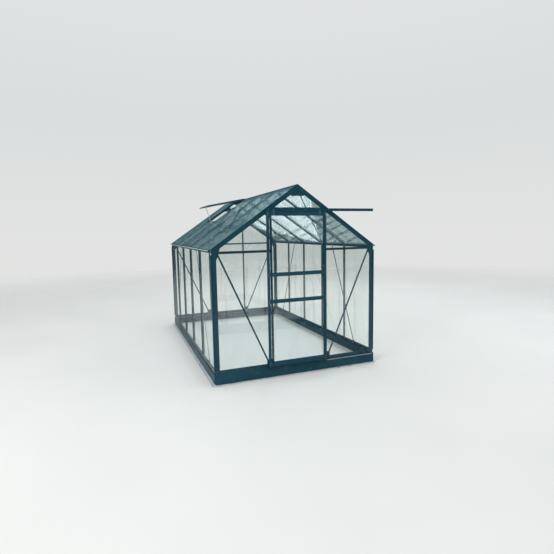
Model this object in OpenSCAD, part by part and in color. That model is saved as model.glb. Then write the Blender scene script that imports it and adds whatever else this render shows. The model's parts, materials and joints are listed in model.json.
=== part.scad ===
// Glazed gable-roof greenhouse with a sliding door and one raised roof vent.
// Millimetres, +Z up. Origin on the ground under the middle of the overall
// footprint. The front gable, with the door, faces -Y.

/* [Overall] */
// Width over the corner posts
outer_width = 1930; // [1500:10:2600]
// Length over the corner posts
outer_length = 3170; // [1900:10:4400]
// Height of the roof surface above the outer face of the side walls
eaves_height = 1409; // [1200:1:1900]
// Height of the roof surface at the ridge
ridge_height = 2078; // [1800:1:2700]
// Number of bays along each side
bay_count = 5; // [3:1:7]

/* [Base] */
// Height of the steel plinth
plinth_height = 112; // [60:1:200]
// Thickness of the plinth sheet
plinth_sheet = 2; // [1.5:0.5:4]
// Width of the plinth foot that lies on the ground outside
plinth_foot = 25; // [10:1:60]
// Width of the plinth shelf that carries the sill
plinth_shelf = 48; // [30:1:80]
// Height of the upstand of the sill above the plinth
sill_height = 45; // [25:1:80]
// Width of the sill foot
sill_foot = 36; // [20:1:44]

/* [Glazing] */
// Thickness of the panes
glass_thickness = 3; // [2:0.5:6]
// Distance of the panes behind the outer faces of the bars
glass_set = 2; // [1:0.5:4]
// Thickness of the seal behind the panes
seal = 1; // [0.5:0.5:3]
// Gap between the edge of a pane and the rib beside it
edge_gap = 2; // [1:0.5:4]

/* [Bars] */
// Wall thickness of the bar sections
skin = 2.5; // [1.5:0.5:5]
// Width of the glazing bars
bar_width = 26; // [18:1:40]
// Width of the rib between two panes
rib_width = 6; // [4:1:12]
// Thickness of the inner web of a glazing bar
web_thickness = 3; // [2:0.5:6]
// Depth of the glazing bars from the outer face
bar_depth = 30; // [18:1:60]
// Depth of the gable cross bars from the outer face
cross_depth = 20; // [14:1:40]
// Distance of the centre line of the gable cross bars below the eaves
cross_drop = 34; // [33:1:400]
// Width of the corner posts on the gables
post_width = 60; // [40:1:90]
// Width of the corner posts on the side walls
post_side = 44; // [30:1:80]
// Side of the solid nose at each outer corner
nose = 9; // [8:1:14]
// Distance of the bay lines of the end bars from the gable faces
post_inset = 22.5; // [15:0.5:40]
// Depth of the gable rafters
rafter_depth = 50; // [35:1:80]
// Width of the rafter flange under the roof panes
rafter_flange = 30; // [20:1:60]
// Length of the ridge flanges down the roof
ridge_flange = 28; // [20:1:50]
// Depth of the ridge web
ridge_depth = 46; // [30:1:80]
// Width of the cap over the ridge, down each slope
ridge_cap = 16; // [10:1:24]

/* [Eaves] */
// Depth of the gutter floor below the eaves
gutter_drop = 16; // [16:1:30]
// Depth of the lower edge of the eaves web below the eaves
eaves_drop = 36; // [34:1:80]
// Reach of the gutter beyond the wall face
gutter_reach = 22; // [16:1:26]
// Height of the outer lip of the gutter
gutter_lip = 9; // [5:1:10]
// Reach of the roof panes beyond the wall face
pane_overhang = 11; // [4:1:14]

/* [Bracing] */
// Width of the brace bars
brace_width = 18; // [12:1:30]
// Thickness of the brace bars
brace_thickness = 2.5; // [2:0.5:5]
// Thickness of the joint plates
plate = 2; // [1.5:0.5:4]
// Distance of the upper ends of the gable braces below the eaves
brace_drop = 59; // [49:1:400]
// Distance of the lower ends of the gable braces above the sill
brace_rise = 27; // [13:1:240]
// Distance of the wall brace top from the gable face, in bays
wall_brace_top = 1.5; // [1.2:0.1:1.8]
// Distance of the wall brace foot from the gable face, in bays
wall_brace_foot = 0.62; // [0.3:0.01:0.8]
// Distance of the gable brace foot from the centre line of the post
gable_brace_foot = 55; // [40:1:60]
// Distance of the roof brace foot from the gable face, in bays
roof_brace_foot = 1.9; // [1.6:0.05:1.95]

/* [Vent] */
// Bay that carries the roof vent, counted from the front
vent_bay = 4; // [2:1:4]
// Length of the vent down the slope
vent_length = 586; // [400:1:650]
// Angle the vent is raised from the roof
vent_angle = 24; // [10:1:35]
// Width of the vent frame bars
vent_bar = 22; // [16:1:40]
// Width of the lower bar of the vent frame
vent_lower_bar = 46; // [24:1:60]
// Thickness of the vent frame
vent_depth = 14; // [10:1:24]
// Radius of the vent stay rod
stay_radius = 4; // [3:0.5:6]

/* [Door] */
// Distance between the centre lines of the door posts
doorway_width = 626; // [560:1:660]
// Width of the door
door_width = 695; // [680:1:760]
// Offset of the middle of the closed door from the middle of the doorway
door_offset = -22; // [-30:1:10]
// Gap between the plinth and the underside of the door
door_clearance = 16; // [14:1:38]
// Height of the top of the door
door_top = 1786; // [1600:1:1800]
// Thickness of the door frame
door_depth = 20; // [14:1:30]
// Gap between the gable face and the back of the door
door_gap = 8; // [6:0.5:14]
// Width of the door stiles
stile_width = 26; // [20:1:70]
// Height of the top rail of the door
top_rail = 44; // [30:1:70]
// Height of the middle rails of the door
mid_rail = 42; // [30:1:70]
// Height of the bottom rail of the door
bottom_rail = 57; // [40:1:90]
// Height of the centre line of the lower middle rail
lower_rail_height = 839; // [600:1:950]
// Height of the centre line of the upper middle rail
upper_rail_height = 1126; // [980:1:1400]
// Width of the rebate for the door panes
door_rebate = 12; // [8:1:20]
// Travel of the door
door_travel = 590; // [400:1:600]

/* [Door running gear] */
// Height of the track
track_height = 31; // [25:1:50]
// Gap between the top of the door and the track
track_gap = 6; // [5:0.5:12]
// Depth of the track from the gable face
track_depth = 22; // [18:1:24]
// Height of the retaining lip of the track
track_lip = 5; // [3:0.5:8]
// Length of the track beyond the edge of the open door
track_spare = 19; // [8:1:30]
// Radius of the door wheels
wheel_radius = 9; // [7:0.5:11]
// Thickness of the door wheels
wheel_width = 7; // [5:0.5:10]
// Running gap between a wheel and the track
wheel_gap = 0.5; // [0.2:0.1:1.5]
// Radius of the wheel axles
axle_radius = 3; // [2:0.5:4]
// Width of the hanger plates
hanger_width = 36; // [24:1:60]
// Distance of the hangers from the door edges
hanger_inset = 80; // [30:1:120]
// Height of the guide rib in front of the sill
guide_rib = 8; // [5:0.5:10]
// Length of each guide block under the door
guide_block = 40; // [20:1:80]

/* [Hidden] */
half_width = outer_width / 2;
half_length = outer_length / 2;
pitch = atan((ridge_height - eaves_height) / half_width);
slope_length = half_width / cos(pitch);
rebate = glass_set + glass_thickness + seal;
flange_back = rebate + skin;
sill_top = plinth_height + sill_height;
bay = (outer_length - 2 * post_inset) / bay_count;
cross_height = eaves_height - cross_drop;
brace_top = eaves_height - brace_drop;
brace_bottom = sill_top + brace_rise;
door_bottom = plinth_height + door_clearance;

run_spare = 100;
cut = 1;
hanger_plate = 3;
axle_head = 4;
plate_flare = 50;
plate_gap = 2;
plate_inset = 1;
plate_below = 60;
plate_above = 110;
plate_shoulder = 40;
apex_gap = 0.5;
apex_plate_half = 75;
apex_plate_drop = 125;
foot_plate_width = 70;
foot_plate_below = 30;
foot_plate_above = 22;
roof_brace_head = 20;
roof_brace_side = 55;
roof_brace_run = 130;
roof_brace_eaves = 50;
door_back = -door_gap;
door_face = -door_gap - door_depth;
front_reach = door_gap + door_depth + hanger_plate + axle_head;
back_reach = plinth_sheet + plinth_foot;
y_mid = (front_reach - back_reach) / 2;
y_front = y_mid - half_length;
y_back = y_mid + half_length;

post_x = doorway_width / 2;
track_bottom = door_top + track_gap;
track_top = track_bottom + track_height;
door_left = door_offset - door_width / 2;
door_right = door_offset + door_width / 2;
track_left = door_left;
track_right = door_right + door_travel + track_spare;
track_skin = 2.5;
header_lap_low = 6;
header_lap_top = 3;
header_bottom = track_bottom - header_lap_low;
header_top = track_top + header_lap_top;
header_depth = 24;
header_upstand = 6;
wheel_y = -track_depth / 2;
wheel_z = track_bottom + track_skin + wheel_gap + wheel_radius;
hangers = [door_left + hanger_inset, door_right - hanger_inset];
hanger_low = door_top - top_rail + 6;
hanger_high = wheel_z + axle_radius + 5;
guide_y = door_back - door_depth / 2;
guide_sheet = 2.5;
guide_rib_width = 3;
guide_gap = 1.5;
guide_wall = 3;
stop_width = 6;

vent_y0 = -half_length + post_inset + (vent_bay - 1) * bay;
vent_side_gap = 2;
vent_lift = 1;
vent_hinge_gap = 4;
vent_sill_inset = 18;
vent_sill_lap = 10;
vent_groove = 4;
vent_groove_play = 1;
stay_gap = 3;
stay_inset = 40;
long = outer_length * 2;
tall = ridge_height * 2;

glass_foot = plinth_height + skin + edge_gap;
rib_clear = rib_width / 2 + edge_gap;
nose_clear = nose + edge_gap;

aluminium = [0.14, 0.30, 0.35];
painted = [0.11, 0.25, 0.29];
steel = [0.13, 0.27, 0.31];
bright = [0.70, 0.72, 0.73];
glass = [0.75, 0.86, 0.85];
plastic = [0.10, 0.10, 0.10];

// ---------- frames of reference ----------

// Gable frames: x to the right, y into the building, z up
module on_front() {
    translate([0, y_front, 0]) children();
}

module on_back() {
    translate([0, y_back, 0]) mirror([0, 1, 0]) children();
}

// Wall frames: x along the wall from its middle, y into the building, z up
module on_left() {
    translate([-half_width, y_mid, 0]) rotate([0, 0, -90]) children();
}

module on_right() {
    mirror([1, 0, 0]) on_left() children();
}

// Roof frames: x down the slope from the ridge, y along the building from
// its middle, z outwards from the roof surface
module on_roof_right() {
    translate([0, y_mid, ridge_height]) rotate([0, pitch, 0]) children();
}

module on_roof_left() {
    mirror([1, 0, 0]) on_roof_right() children();
}

// Everything inside the building more than depth below the roof surface
module under_roof(depth) {
    drop = depth / cos(pitch);
    translate([0, y_mid + long / 2, 0]) rotate([90, 0, 0])
        linear_extrude(long) polygon([
            [-half_width, -drop],
            [half_width, -drop],
            [half_width, eaves_height - drop],
            [0, ridge_height - drop],
            [-half_width, eaves_height - drop]]);
}

// A block between two corners
module block(low, high) {
    translate(low) cube(high - low);
}

// ---------- sections ----------

// Outline of a glazing bar: across the bar, then depth
function tee(half_flange, depth) = [
    [-rib_width / 2, 0],
    [rib_width / 2, 0],
    [rib_width / 2, rebate],
    [half_flange, rebate],
    [half_flange, flange_back],
    [web_thickness / 2, flange_back],
    [web_thickness / 2, depth],
    [-web_thickness / 2, depth],
    [-web_thickness / 2, flange_back],
    [-half_flange, flange_back],
    [-half_flange, rebate],
    [-rib_width / 2, rebate]];

module upright_bar(x, z0, z1) {
    translate([x, 0, z0]) linear_extrude(z1 - z0)
        polygon(tee(bar_width / 2, bar_depth));
}

module cross_bar(x0, x1, z) {
    translate([x0, 0, z]) rotate([90, 0, 90]) linear_extrude(x1 - x0)
        polygon([for (p = tee(bar_width / 2, cross_depth)) [p[1], p[0]]]);
}

// Roof bar down the slope from s0 to s1; its web stops at web_end
module roof_bar(y, s0, s1, web_end) {
    half_flange = bar_width / 2;
    translate([s0, y, 0]) rotate([90, 0, 90]) {
        linear_extrude(web_end - s0)
            polygon([for (p = tee(half_flange, bar_depth)) [p[0], -p[1]]]);
        translate([0, 0, web_end - s0]) linear_extrude(s1 - web_end) polygon([
            [-rib_width / 2, 0],
            [rib_width / 2, 0],
            [rib_width / 2, -rebate],
            [half_flange, -rebate],
            [half_flange, -flange_back],
            [-half_flange, -flange_back],
            [-half_flange, -rebate],
            [-rib_width / 2, -rebate]]);
    }
}

// Plan outline that mitres a run at both ends
module mitred(half_run) {
    reach = 60;
    linear_extrude(tall, center = true) polygon([
        [-half_run - reach, -reach],
        [half_run + reach, -reach],
        [half_run - 2 * reach, 2 * reach],
        [-half_run + 2 * reach, 2 * reach]]);
}

// ---------- base ----------

module plinth_run(half_run) {
    intersection() {
        translate([-half_run - run_spare, 0, 0]) rotate([90, 0, 90])
            linear_extrude(2 * (half_run + run_spare)) polygon([
                [-plinth_sheet - plinth_foot, 0],
                [0, 0],
                [0, plinth_height - plinth_sheet],
                [plinth_shelf, plinth_height - plinth_sheet],
                [plinth_shelf, plinth_height],
                [-plinth_sheet, plinth_height],
                [-plinth_sheet, plinth_sheet],
                [-plinth_sheet - plinth_foot, plinth_sheet]]);
        mitred(half_run);
    }
}

module sill_run(half_run) {
    lip = 1.5;
    lip_height = 7;
    intersection() {
        translate([-half_run - run_spare, 0, plinth_height]) rotate([90, 0, 90])
            linear_extrude(2 * (half_run + run_spare)) polygon([
                [0, 0],
                [flange_back + sill_foot, 0],
                [flange_back + sill_foot, skin],
                [flange_back, skin],
                [flange_back, sill_height],
                [rebate, sill_height],
                [rebate, skin],
                [lip, skin],
                [lip, lip_height],
                [0, lip_height]]);
        mitred(half_run);
    }
}

module plinth_front() {
    color(steel) on_front() plinth_run(half_width);
}

module plinth_back() {
    color(steel) on_back() plinth_run(half_width);
}

module plinth_left() {
    color(steel) on_left() plinth_run(half_length);
}

module plinth_right() {
    color(steel) on_right() plinth_run(half_length);
}

module sill_front() {
    color(aluminium) on_front() sill_run(half_width);
}

module sill_back() {
    color(aluminium) on_back() sill_run(half_width);
}

module sill_left() {
    color(aluminium) on_left() sill_run(half_length);
}

module sill_right() {
    color(aluminium) on_right() sill_run(half_length);
}

// ---------- uprights ----------

// Corner post at the left end of a gable, in the gable frame
module corner_post() {
    translate([-half_width, 0, 0]) {
        block([0, 0, sill_top], [nose, nose, tall]);
        block([nose, rebate, sill_top], [post_width, flange_back, tall]);
        block([rebate, nose, sill_top],
              [flange_back, post_side, eaves_height - eaves_drop]);
    }
}

module corner_posts() {
    color(aluminium) {
        for (side = [0, 1]) mirror([side, 0, 0]) {
            intersection() {
                on_front() corner_post();
                under_roof(rafter_depth);
            }
            intersection() {
                on_back() corner_post();
                under_roof(rafter_depth);
            }
        }
    }
}

module door_posts() {
    color(aluminium) intersection() {
        on_front() for (x = [-post_x, post_x])
            upright_bar(x, sill_top, ridge_height);
        under_roof(rafter_depth);
    }
}

module back_posts() {
    color(aluminium) intersection() {
        on_back() for (x = [-post_x, post_x])
            upright_bar(x, sill_top, ridge_height);
        under_roof(rafter_depth);
    }
}

module wall_bars() {
    for (i = [1 : bay_count - 1])
        upright_bar(-half_length + post_inset + i * bay, sill_top,
                    eaves_height - eaves_drop);
}

module wall_bars_left() {
    color(aluminium) on_left() wall_bars();
}

module wall_bars_right() {
    color(aluminium) on_right() wall_bars();
}

// ---------- gable cross bars ----------

// Cross bar between a corner post and the upright beside it. Its web stops
// clear of the corner plate.
module outer_cross_bar() {
    outer = half_width - post_width;
    difference() {
        cross_bar(post_x + bar_width / 2, outer, cross_height);
        block([outer - plate_flare - plate_gap, flange_back, cross_height - bar_width],
              [outer + cut, cross_depth + cut, cross_height + bar_width]);
    }
}

module cross_bars_front() {
    color(aluminium) intersection() {
        on_front() for (side = [0, 1]) mirror([side, 0, 0]) outer_cross_bar();
        under_roof(rafter_depth);
    }
}

module cross_bars_back() {
    color(aluminium) intersection() {
        on_back() {
            for (side = [0, 1]) mirror([side, 0, 0]) outer_cross_bar();
            cross_bar(-post_x + bar_width / 2, post_x - bar_width / 2,
                      cross_height);
        }
        under_roof(rafter_depth);
    }
}

module header() {
    half = post_x - bar_width / 2;
    color(aluminium) intersection() {
        on_front() translate([-half, 0, 0]) rotate([90, 0, 90])
            linear_extrude(2 * half) polygon([
                [0, header_bottom],
                [header_depth, header_bottom],
                [header_depth, header_bottom + skin],
                [skin, header_bottom + skin],
                [skin, header_top - skin],
                [flange_back, header_top - skin],
                [flange_back, header_top + header_upstand],
                [rebate, header_top + header_upstand],
                [rebate, header_top],
                [0, header_top]]);
        under_roof(rafter_depth);
    }
}

// ---------- roof frame ----------

// Right-hand rafter of the front gable, in building coordinates
module rafter() {
    y0 = -half_length;
    intersection() {
        on_roof_right() {
            block([-rafter_depth, y0, -nose],
                  [slope_length + pane_overhang, y0 + nose, 0]);
            block([ridge_flange, y0 + nose, -flange_back],
                  [slope_length - nose, y0 + rafter_flange, -rebate]);
        }
        block([apex_gap, y_front, 0], [outer_width, y_back, tall]);
    }
    intersection() {
        on_roof_right()
            block([-rafter_depth, y0 + rebate, -rafter_depth],
                  [slope_length, y0 + flange_back, -nose]);
        block([apex_gap, y_front, 0], [half_width - nose, y_back, tall]);
    }
}

module rafters_front() {
    color(painted) for (side = [0, 1]) mirror([side, 0, 0]) rafter();
}

module rafters_back() {
    color(painted) translate([0, 2 * y_mid, 0]) mirror([0, 1, 0])
        for (side = [0, 1]) mirror([side, 0, 0]) rafter();
}

module ridge_bar() {
    y0 = y_front + flange_back + plate;
    y1 = y_back - flange_back - plate;
    intersection() {
        union() {
            color(painted) for (side = [0, 1]) mirror([side, 0, 0])
                on_roof_right() block([-ridge_depth, y0 - y_mid, -flange_back],
                                      [ridge_flange, y1 - y_mid, -rebate]);
            block([-web_thickness, y0, ridge_height - ridge_depth],
                  [web_thickness, y1, ridge_height]);
        }
        under_roof(0);
    }
}

// Eaves beam and gutter, in the frame of its wall
module gutter_run() {
    start = -half_length + nose;
    low = eaves_height - gutter_drop;
    foot = eaves_height - eaves_drop;
    cover = flange_back / cos(pitch);
    translate([start, 0, 0]) rotate([90, 0, 90])
        linear_extrude(-2 * start) polygon([
            [flange_back, foot],
            [flange_back, eaves_height - cover + flange_back * tan(pitch)],
            [rebate, eaves_height - cover + rebate * tan(pitch)],
            [rebate, low + skin],
            [-gutter_reach + skin, low + skin],
            [-gutter_reach + skin, low + gutter_lip],
            [-gutter_reach, low + gutter_lip],
            [-gutter_reach, low],
            [rebate, low],
            [rebate, foot]]);
}

module gutter_left() {
    color(painted) on_left() gutter_run();
}

module gutter_right() {
    color(painted) on_right() gutter_run();
}

// Bars of the right-hand slope, clear of the ridge web
module roof_bars() {
    intersection() {
        on_roof_right() for (i = [1 : bay_count - 1])
            roof_bar(-half_length + post_inset + i * bay, ridge_flange,
                     slope_length, slope_length - 2 * flange_back);
        block([web_thickness, y_front, 0], [outer_width, y_back, tall]);
    }
}

module roof_bars_left() {
    color(painted) mirror([1, 0, 0]) roof_bars();
}

module roof_bars_right() {
    color(painted) roof_bars();
}

// ---------- bracing and plates ----------

// Flat bar from a to b in the plane of a wall, at a depth
module brace(a, b, depth) {
    run = b - a;
    translate([a[0], depth, a[1]])
        rotate([0, -atan2(run[1], run[0]), 0])
            block([-brace_width / 2, 0, -brace_width / 2],
                  [norm(run) + brace_width / 2, brace_thickness,
                   brace_width / 2]);
}

module gable_brace_pair() {
    for (side = [0, 1]) mirror([side, 0, 0])
        brace([half_width - post_width - brace_width, brace_top],
              [post_x + gable_brace_foot, brace_bottom], flange_back + plate);
}

module gable_braces() {
    color(aluminium) {
        on_front() gable_brace_pair();
        on_back() gable_brace_pair();
    }
}

// One wall brace with the spacers that stand it off the eaves and the sill
module wall_brace() {
    top = [-half_length + wall_brace_top * bay, eaves_height - eaves_drop];
    foot = [-half_length + wall_brace_foot * bay, sill_top];
    tab = brace_width;
    brace(top - [0, tab / 2], foot + [0, tab / 2], bar_depth);
    block([top[0] - tab / 2, flange_back, top[1]],
          [top[0] + tab / 2, bar_depth + brace_thickness, top[1] + tab]);
    block([foot[0] - tab / 2, flange_back, foot[1] - tab],
          [foot[0] + tab / 2, bar_depth + brace_thickness, foot[1]]);
}

module wall_brace_pair() {
    for (side = [0, 1]) mirror([side, 0, 0]) wall_brace();
}

module wall_braces() {
    color(aluminium) {
        on_left() wall_brace_pair();
        on_right() wall_brace_pair();
    }
}

// One roof brace, in the roof frame; it runs on at both ends
module roof_brace() {
    a = [ridge_flange + roof_brace_head, -half_length + roof_brace_side];
    b = [slope_length - roof_brace_eaves, -half_length + roof_brace_foot * bay];
    run = b - a;
    translate([a[0], a[1], -bar_depth - brace_thickness])
        rotate([0, 0, atan2(run[1], run[0])])
            block([-roof_brace_run, -brace_width / 2, 0],
                  [norm(run) + roof_brace_run, brace_width / 2, brace_thickness]);
}

// Braces of the right-hand slope, between the ridge web, the eaves beam and
// the plates of the gables
module roof_brace_pair() {
    clear = flange_back + plate + plate_gap;
    intersection() {
        on_roof_right() for (side = [0, 1]) mirror([0, side, 0]) roof_brace();
        block([web_thickness, y_front + clear, 0],
              [half_width - flange_back, y_back - clear, tall]);
    }
}

module roof_braces() {
    color(aluminium) for (side = [0, 1]) mirror([side, 0, 0]) roof_brace_pair();
}

// Flared plate that joins the right-hand corner post to its rafter
module corner_plate() {
    inner = half_width - post_width;
    outer = half_width - flange_back - plate_inset;
    flare = plate_flare / 2;
    intersection() {
        on_front() translate([0, flange_back + plate, 0]) rotate([90, 0, 0])
            linear_extrude(plate) polygon([
                [outer, brace_top - plate_below],
                [inner + plate_gap, brace_top - plate_below],
                [inner - flare, brace_top],
                [inner - plate_flare, brace_top + plate_above],
                [inner - flare, brace_top + plate_above],
                [outer, brace_top + plate_shoulder]]);
        under_roof(nose + plate_inset);
    }
}

// Plate across the two rafters at the ridge
module apex_plate() {
    intersection() {
        on_front() block(
            [-apex_plate_half, flange_back, ridge_height - apex_plate_drop],
            [apex_plate_half, flange_back + plate, ridge_height]);
        under_roof(nose + plate_inset);
    }
}

// Plate between the sill and the foot of the right-hand gable brace
module foot_plate() {
    on_front() block(
        [post_x + web_thickness / 2, flange_back, sill_top - foot_plate_below],
        [post_x + foot_plate_width, flange_back + plate,
         brace_bottom + foot_plate_above]);
}

module gable_plates() {
    apex_plate();
    for (side = [0, 1]) mirror([side, 0, 0]) {
        corner_plate();
        foot_plate();
    }
}

module joint_plates() {
    color(painted) {
        gable_plates();
        translate([0, 2 * y_mid, 0]) mirror([0, 1, 0]) gable_plates();
    }
}

// ---------- roof vent ----------

// Cross bar under the lower edge of the vent
module vent_sill() {
    y0 = vent_y0 + bar_width / 2;
    y1 = vent_y0 + bay - bar_width / 2;
    color(painted) on_roof_left() translate([vent_length - vent_sill_inset, y1, 0])
        rotate([90, 0, 0]) linear_extrude(y1 - y0) polygon([
            [-vent_sill_lap, -bar_depth],
            [-vent_sill_lap + web_thickness, -bar_depth],
            [-vent_sill_lap + web_thickness, -flange_back],
            [vent_sill_inset, -flange_back],
            [vent_sill_inset, -rebate],
            [-vent_sill_lap, -rebate]]);
}

// Vent frame: hinge line on the ridge, raised by the vent angle
module on_vent() {
    translate([0, y_mid, ridge_height])
        rotate([0, -pitch, 0]) mirror([1, 0, 0])
            translate([ridge_cap + vent_hinge_gap, vent_y0, vent_lift])
                rotate([0, -vent_angle, 0]) children();
}

module vent_frame() {
    y0 = vent_side_gap;
    y1 = bay - vent_side_gap;
    reach = vent_length - ridge_cap;
    bite = vent_bar / 2;
    groove_top = vent_groove + glass_thickness + 2 * vent_groove_play;
    color(painted) on_vent() difference() {
        block([0, y0, 0], [reach, y1, vent_depth]);
        block([vent_bar, y0 + vent_bar, -cut],
              [reach - vent_lower_bar, y1 - vent_bar, vent_depth + cut]);
        block([bite, y0 + bite, vent_groove],
              [reach - vent_lower_bar + bite, y1 - bite, groove_top]);
    }
}

module vent_glass() {
    y0 = vent_side_gap;
    y1 = bay - vent_side_gap;
    reach = vent_length - ridge_cap;
    inset = vent_bar / 2 + edge_gap;
    low = vent_groove + vent_groove_play;
    color(glass) on_vent()
        block([inset, y0 + inset, low],
              [reach - vent_lower_bar + vent_bar / 2 - edge_gap, y1 - inset,
               low + glass_thickness]);
}

// Stay from the vent edge down to the cross bar below it
module vent_stay() {
    lift = pitch - vent_angle;
    hinge_s = ridge_cap + vent_hinge_gap;
    hinge = [-hinge_s * cos(pitch) - vent_lift * sin(pitch),
             ridge_height - hinge_s * sin(pitch) + vent_lift * cos(pitch)];
    top_s = vent_length - ridge_cap - stay_inset;
    top = hinge - top_s * [cos(lift), sin(lift)] - [0, stay_gap];
    foot_s = vent_length - vent_sill_inset / 2;
    foot = [-foot_s * cos(pitch), ridge_height - foot_s * sin(pitch)];
    run = foot - top;
    color(bright)
        translate([top[0], y_mid + vent_y0 + bay / 2, top[1]])
            rotate([0, atan2(run[0], run[1]), 0])
                cylinder(h = norm(run), r = stay_radius, $fn = 24);
}

// ---------- door running gear ----------

module door_track() {
    base = track_bottom + track_skin;
    color(aluminium) on_front() {
        translate([track_left, 0, 0]) rotate([90, 0, 90])
            linear_extrude(track_right - track_left) polygon([
                [0, track_bottom],
                [0, track_top],
                [-track_skin, track_top],
                [-track_skin, base],
                [-track_depth + track_skin, base],
                [-track_depth + track_skin, base + track_lip],
                [-track_depth, base + track_lip],
                [-track_depth, track_bottom]]);
        for (x = [track_left, track_right - stop_width])
            block([x, -track_depth + track_skin, base],
                  [x + stop_width, -track_skin, track_top]);
    }
}

module door_guide_rail() {
    color(bright) on_front() {
        translate([track_left, 0, plinth_height]) rotate([90, 0, 90])
            linear_extrude(track_right - track_left) polygon([
                [0, 0],
                [0, guide_sheet],
                [guide_y + guide_rib_width / 2, guide_sheet],
                [guide_y + guide_rib_width / 2, guide_rib],
                [guide_y - guide_rib_width / 2, guide_rib],
                [guide_y - guide_rib_width / 2, guide_sheet],
                [door_face, guide_sheet],
                [door_face, 0]]);
    }
}

// ---------- door ----------

// Gable frame with x from the middle of the closed door
module on_door() {
    on_front() translate([door_offset, 0, 0]) children();
}

module stile() {
    translate([-door_width / 2, 0, door_bottom])
        linear_extrude(door_top - door_bottom) polygon([
            [0, door_back],
            [0, door_face],
            [stile_width, door_face],
            [stile_width, door_face + skin],
            [stile_width - door_rebate + skin, door_face + skin],
            [stile_width - door_rebate + skin, door_back],
            [stile_width - door_rebate, door_back],
            [stile_width - door_rebate, door_face + skin],
            [skin, door_face + skin],
            [skin, door_back]]);
}

module door_stiles() {
    color(aluminium) on_door() for (side = [0, 1])
        mirror([side, 0, 0]) stile();
}

// Rail between the stiles; the panes reach behind its lips
module rail(z0, z1, lip_low, lip_high) {
    half = door_width / 2 - stile_width;
    low = z0 + lip_low;
    high = z1 - lip_high;
    translate([-half, 0, 0]) rotate([90, 0, 90]) linear_extrude(2 * half)
        polygon([
            [door_face, z0],
            [door_face + skin, z0],
            [door_face + skin, low],
            [door_back, low],
            [door_back, low + skin],
            [door_face + skin, low + skin],
            [door_face + skin, high - skin],
            [door_back, high - skin],
            [door_back, high],
            [door_face + skin, high],
            [door_face + skin, z1],
            [door_face, z1]]);
}

module door_rails() {
    lip = door_rebate - skin;
    color(aluminium) on_door() {
        rail(door_bottom, door_bottom + bottom_rail, 0, lip);
        rail(lower_rail_height - mid_rail / 2,
             lower_rail_height + mid_rail / 2, lip, lip);
        rail(upper_rail_height - mid_rail / 2,
             upper_rail_height + mid_rail / 2, lip, lip);
        rail(door_top - top_rail, door_top, lip, 0);
    }
}

module door_pane(z0, z1) {
    bite = door_rebate - skin - edge_gap;
    half = door_width / 2 - stile_width + bite;
    front = door_face + skin + seal;
    block([-half, front, z0 - bite], [half, front + glass_thickness, z1 + bite]);
}

module door_glass() {
    color(glass) on_door() {
        door_pane(door_bottom + bottom_rail, lower_rail_height - mid_rail / 2);
        door_pane(lower_rail_height + mid_rail / 2,
                  upper_rail_height - mid_rail / 2);
        door_pane(upper_rail_height + mid_rail / 2, door_top - top_rail);
    }
}

// Hanger plates with the heads of the axle and of the bolt below it
module door_hangers() {
    color(bright) on_front() for (x = hangers) {
        block([x - hanger_width / 2, door_face - hanger_plate, hanger_low],
              [x + hanger_width / 2, door_face, hanger_high]);
        for (z = [wheel_z, hanger_low + hanger_width / 3])
            translate([x, door_face - hanger_plate, z]) rotate([90, 0, 0])
                cylinder(h = axle_head, r = 2 * axle_radius, $fn = 32);
    }
}

module door_wheels() {
    color(plastic) on_front() for (x = hangers)
        translate([x, wheel_y, wheel_z]) rotate([90, 0, 0]) {
            translate([0, 0, -wheel_width / 2])
                cylinder(h = wheel_width, r = wheel_radius, $fn = 48);
            cylinder(h = wheel_y - door_face, r = axle_radius, $fn = 32);
        }
}

module door_guides() {
    low = plinth_height + guide_sheet + guide_gap;
    half = guide_rib_width / 2 + guide_gap;
    color(plastic) on_front() for (x = hangers) for (side = [0, 1])
        translate([x, guide_y, 0]) mirror([0, side, 0])
            block([-guide_block / 2, half, low],
                  [guide_block / 2, half + guide_wall, door_bottom]);
}

// ---------- glazing ----------

// Pane in a wall plane between two bar lines
module pane(x0, x1, z0, z1) {
    block([x0, glass_set, z0], [x1, glass_set + glass_thickness, z1]);
}

module glass_front() {
    side_in = post_x + rib_clear;
    side_out = half_width - nose_clear;
    color(glass) intersection() {
        on_front() {
            for (side = [0, 1]) mirror([side, 0, 0]) {
                pane(side_in, side_out, glass_foot, cross_height - rib_clear);
                pane(side_in, side_out, cross_height + rib_clear, ridge_height);
            }
            pane(-post_x + rib_clear, post_x - rib_clear,
                 header_top + edge_gap, ridge_height);
        }
        under_roof(nose_clear);
    }
}

module glass_back() {
    side_in = post_x + rib_clear;
    side_out = half_width - nose_clear;
    color(glass) intersection() {
        on_back() {
            for (side = [0, 1]) mirror([side, 0, 0]) {
                pane(side_in, side_out, glass_foot, cross_height - rib_clear);
                pane(side_in, side_out, cross_height + rib_clear, ridge_height);
            }
            pane(-post_x + rib_clear, post_x - rib_clear, glass_foot,
                 cross_height - rib_clear);
            pane(-post_x + rib_clear, post_x - rib_clear,
                 cross_height + rib_clear, ridge_height);
        }
        under_roof(nose_clear);
    }
}

module wall_panes() {
    top = eaves_height - gutter_drop - edge_gap;
    for (i = [0 : bay_count - 1]) {
        x0 = -half_length + post_inset + i * bay;
        x1 = x0 + bay;
        pane(i == 0 ? -half_length + nose_clear : x0 + rib_clear,
             i == bay_count - 1 ? half_length - nose_clear : x1 - rib_clear,
             glass_foot, top);
    }
}

module glass_left() {
    color(glass) on_left() wall_panes();
}

module glass_right() {
    color(glass) on_right() wall_panes();
}

module roof_panes(open_bay) {
    for (i = [0 : bay_count - 1]) {
        y0 = -half_length + post_inset + i * bay;
        y1 = y0 + bay;
        block([i == open_bay ? vent_length : ridge_cap,
               i == 0 ? -half_length + nose_clear : y0 + rib_clear,
               -glass_set - glass_thickness],
              [slope_length + pane_overhang,
               i == bay_count - 1 ? half_length - nose_clear : y1 - rib_clear,
               -glass_set]);
    }
}

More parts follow.
